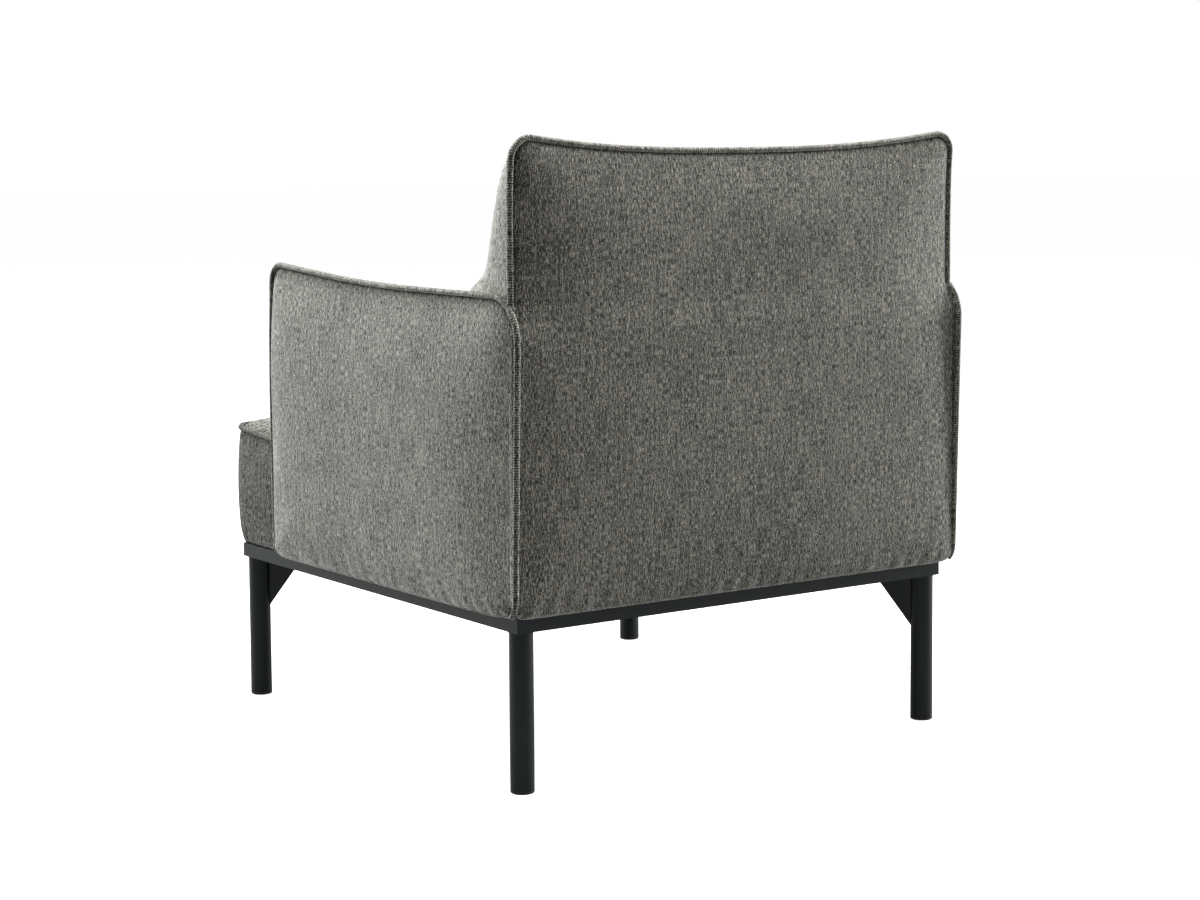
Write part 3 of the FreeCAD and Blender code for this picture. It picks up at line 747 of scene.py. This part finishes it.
def make_inner_back():
    """The leaning back pad: full width above the arms, narrow between them, pillowed to its edges."""
    narrow = arm_low.x + 3 * MM
    arm_line = ARM_TOP + 1 * MM
    foot = SEAT_FOOT + 130 * MM
    ear = BACK_EAR - 4 * MM
    corners = [(-narrow, foot, 10 * MM), (-narrow, arm_line, 6 * MM), (-BACK_HALF, arm_line, 6 * MM),
               (-BACK_HALF, ear, BACK_EAR_ROUND), (BACK_HALF, ear, BACK_EAR_ROUND),
               (BACK_HALF, arm_line, 6 * MM),
               (narrow, arm_line, 6 * MM), (narrow, foot, 10 * MM)]
    back = padded_blank("back_inner", corners, lambda a, b, c: (a, c, b), PAD_DEPTH)
    relaxed(back, 1)
    co = coordinates(back)
    t = np.clip(co[:, 1] / PAD_DEPTH, 0, 1)
    x = np.abs(co[:, 0])
    z = co[:, 2]
    wing = z > arm_line - 4 * MM
    front = wedge_low.y + np.clip(z - seat_high.z, 0, None) * BACK_LEAN
    from_side = np.clip(np.where(wing, BACK_HALF - x, narrow - x), 0, None)
    from_top = np.clip(ear - z, 0, None)
    full_across = 1 - np.exp(-from_side / np.where(wing, 15 * MM, 8 * MM))
    full = full_across * (1 - np.exp(-from_top / (19 * MM)))
    face = BACK_SEAM_Y - (BACK_SEAM_Y - front) * full
    fillet = np.clip(1 - (z - arm_line) / (36 * MM), 0, 1) ** 2 * 38 * MM
    face = face - np.where(wing & (x > narrow - 6 * MM), fillet, 0)
    face = np.minimum(face, BACK_SEAM_Y - 6 * MM)
    co[:, 1] = face * (1 - t) + (BACK_SEAM_Y - 1.5 * MM) * t
    behind = np.clip((co[:, 1] - BACK_SEAM_Y + 60 * MM) / (60 * MM), 0, 1) ** 2
    drop = 64 * MM * behind * np.clip(1 - (z - arm_line) / (30 * MM), 0, 1)
    co[:, 2] -= np.where(wing, drop, 0)
    set_coordinates(back, dipped(co))
    relaxed(back, 3)
    over_arm = wing & (z < arm_line + 12 * MM)
    inflate(back, (t > 0.8) | (z < seat_high.z) | over_arm, 7 * MM)
    return subdivided(back)


def back_welt_line():
    """Up one side from behind the arm, along the top and down the other side."""
    ring = even_run(outline_of(back_corners(1.5 * MM)), RUN_STEP, closed=True)
    line = stretch_of(ring, lambda a, b: b > ARM_TOP - 36 * MM)
    return dipped(np.array([(a, BACK_SEAM_Y + 1 * MM, b) for a, b in line]))


# ---------------------------------------------------------------- welts

def make_welt(name, line, flat_way, width, height, replaced, flat_pile=0.0):
    """Cord wrapped in bias-cut cloth: a grid rolled into an oval tube along a line, ribbed across it."""
    bm = bmesh.new()
    bmesh.ops.create_grid(bm, x_segments=len(line) - 1, y_segments=12, size=0.5)
    welt = object_from(bm, name)
    co = coordinates(welt)
    place = np.round((co[:, 0] + 0.5) * (len(line) - 1)).astype(int)
    angle = (co[:, 1] + 0.5) * 2 * math.pi
    ahead = np.gradient(line, axis=0)
    ahead /= np.linalg.norm(ahead, axis=1)[:, None]
    flat = np.array(flat_way, float)
    up = np.cross(ahead, flat)
    step = np.linalg.norm(np.diff(line, axis=0), axis=1)
    run = np.concatenate([[0], np.cumsum(step)])[place]
    rib = (1 + 0.04 * np.sin(run * 2 * math.pi / RIB_PITCH))[:, None]
    across = flat * np.cos(angle)[:, None] * width / 2 + up[place] * np.sin(angle)[:, None] * height / 2
    set_coordinates(welt, line[place] + across * rib)
    layer = welt.data.attributes.new("run", "FLOAT", "POINT")
    layer.data.foreach_set("value", run.astype(np.float32))
    layer = welt.data.attributes.new("seam", "FLOAT", "POINT")
    layer.data.foreach_set("value", np.full(len(run), flat_pile, np.float32))
    bm = bmesh.new()
    bm.from_mesh(welt.data)
    bmesh.ops.remove_doubles(bm, verts=bm.verts, dist=0.01 * MM)
    bmesh.ops.holes_fill(bm, edges=[e for e in bm.edges if e.is_boundary], sides=0)
    bmesh.ops.recalc_face_normals(bm, faces=bm.faces)
    bm.to_mesh(welt.data)
    bm.free()
    for polygon in welt.data.polygons:
        polygon.use_smooth = True
    lay_cloth(welt)
    welt.data.materials.append(WELT_FABRIC)
    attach(welt, "root")
    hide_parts(*replaced)
    return welt


def make_weld_beads():
    """The bead that joins each leg to the rails."""
    bm = bmesh.new()
    for corner in ("front_left", "front_right", "rear_left", "rear_right"):
        low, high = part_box("leg_" + corner)
        centre = (low + high) / 2
        radius = (high.x - low.x) / 2
        bead = bmesh.ops.create_circle(bm, segments=8, radius=1.3 * MM)["verts"]
        bmesh.ops.rotate(bm, verts=bead, matrix=Matrix.Rotation(math.pi / 2, 3, "X"))
        bmesh.ops.translate(bm, verts=bead, vec=(radius, 0, 0))
        edges = list({e for v in bead for e in v.link_edges})
        bmesh.ops.spin(bm, geom=bead + edges, cent=(0, 0, 0), axis=(0, 0, 1), dvec=(0, 0, 0),
                       angle=2 * math.pi, steps=48, use_merge=True)
        ring = [v for v in bm.verts if not v.tag]
        bmesh.ops.translate(bm, verts=ring, vec=(centre.x, centre.y, high.z - 0.6 * MM))
        for vert in ring:
            vert.tag = True
    bmesh.ops.remove_doubles(bm, verts=bm.verts, dist=0.01 * MM)
    obj = object_from(bm, "leg_weld_beads")
    for polygon in obj.data.polygons:
        polygon.use_smooth = True
    obj.data.materials.append(SLOT_FINISHES["powder_coated_steel"])
    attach(obj, "root")


def make_dust_cloth():
    """The black cloth stapled under the seat, sagging a little between the rails."""
    low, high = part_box("dust_cover")
    bm = bmesh.new()
    bmesh.ops.create_grid(bm, x_segments=48, y_segments=48, size=0.5)
    wide = high.x - low.x
    deep = high.y - low.y
    for vert in bm.verts:
        x, y = vert.co.x * 2, vert.co.y * 2
        sag = 3 * MM * max(0.0, 1 - x ** 4) * max(0.0, 1 - y ** 4)
        vert.co = Vector((vert.co.x * wide, vert.co.y * deep, low.z + 0.8 * MM - sag))
    cloth = object_from(bm, "dust_cloth")
    for polygon in cloth.data.polygons:
        polygon.use_smooth = True
    thick = cloth.modifiers.new("Thickness", "SOLIDIFY")
    thick.thickness = 0.4 * MM
    cloth.data.materials.append(SLOT_FINISHES["dust_cloth"])
    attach(cloth, "root")
    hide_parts("dust_cover")


# ---------------------------------------------------------------- studio

def make_camera():
    """Behind the chair and to its left, a little above the arms."""
    data = bpy.data.cameras.new("camera")
    camera = bpy.data.objects.new("camera", data)
    bpy.context.scene.collection.objects.link(camera)
    data.lens = 75.95
    data.shift_y = -0.08
    data.clip_end = 100
    turn = Matrix.Rotation(math.radians(144.955), 4, "Z")
    pitch = Matrix.Rotation(math.radians(90 - 5.089), 4, "X")
    roll = Matrix.Rotation(math.radians(-0.382), 4, "Z")
    camera.matrix_world = Matrix.Translation((2.1166, 3.0683, 0.8595)) @ turn @ pitch @ roll
    bpy.context.scene.camera = camera


def softbox(name, place, target, size, power):
    light = bpy.data.lights.new(name, "AREA")
    light.shape = "RECTANGLE"
    light.size, light.size_y = size
    light.energy = power
    lamp = bpy.data.objects.new(name, light)
    bpy.context.scene.collection.objects.link(lamp)
    lamp.location = place
    lamp.rotation_euler = (Vector(target) - Vector(place)).to_track_quat("-Z", "Y").to_euler()


def make_studio():
    bm = bmesh.new()
    bmesh.ops.create_grid(bm, x_segments=2, y_segments=2, size=30)
    floor = object_from(bm, "studio_floor")
    floor.data.materials.append(studio_floor())
    world = bpy.data.worlds.new("studio")
    bpy.context.scene.world = world
    world.use_nodes = True
    tree = world.node_tree
    background = tree.nodes["Background"]
    background.inputs["Color"].default_value = (1, 1, 1, 1)
    path = tree.nodes.new("ShaderNodeLightPath")
    level = tree.nodes.new("ShaderNodeMapRange")
    level.inputs["To Min"].default_value = 0.07
    level.inputs["To Max"].default_value = 1.0
    tree.links.new(path.outputs["Is Camera Ray"], level.inputs["Value"])
    tree.links.new(level.outputs["Result"], background.inputs["Strength"])
    softbox("side_softbox", (-3.9, 1.25, 1.6), (0, 0.2, 0.4), (1.0, 2.6), 255)
    softbox("front_softbox", (2.5, -3.65, 1.9), (0, 0, 0.4), (1.4, 2.6), 225)
    softbox("top_softbox", (0, 0, 3.4), (0, 0, 0), (2.6, 2.6), 265)
    settings = bpy.context.scene.view_settings
    settings.view_transform = "Standard"


# ---------------------------------------------------------------- assembly

make_camera()
make_studio()
dress_frame()

arm_line = arm_welt_line()
arm = make_arm()
seam_groove_and_painted_shade(arm, arm_line, 1.7 * MM, 6 * MM)
right_arm = mirrored_copy(arm, "arm_right")
for side, piece in (("left", arm), ("right", right_arm)):
    finish_cover(piece, ["arm_cover_" + side, "arm_inner_pad_" + side, "arm_outer_pad_" + side])
make_welt("arm_welt_left", arm_line, (1, 0, 0), 8.8 * MM, 7.4 * MM, ["welt_arm_left"])
make_welt("arm_welt_right", arm_line * np.array([-1, 1, 1]), (1, 0, 0), 8.8 * MM, 7.4 * MM,
          ["welt_arm_right"])

seat_line = seat_welt_line()
seat = make_seat()
seam_groove_and_painted_shade(seat, seat_line, 2 * MM, 5.5 * MM, 0.42)
finish_cover(seat, ["seat_cover", "seat_foam", "seat_edge_pad"])
make_welt("seat_welt", seat_line, (0, 0, 1), 8 * MM, 7 * MM, ["welt_seat"], 0.35)

back_line = back_welt_line()
outer_back = make_outer_back()
inner_back = make_inner_back()
seam_groove_and_painted_shade(outer_back, back_line, 2.2 * MM, 7 * MM)
finish_cover(outer_back, ["back_outer_cover", "back_outer_pad"])
finish_cover(inner_back, ["back_inner_cover", "back_foam"])
make_welt("back_welt", back_line, (0, 1, 0), 10 * MM, 8 * MM, ["welt_back"])

make_weld_beads()
make_dust_cloth()
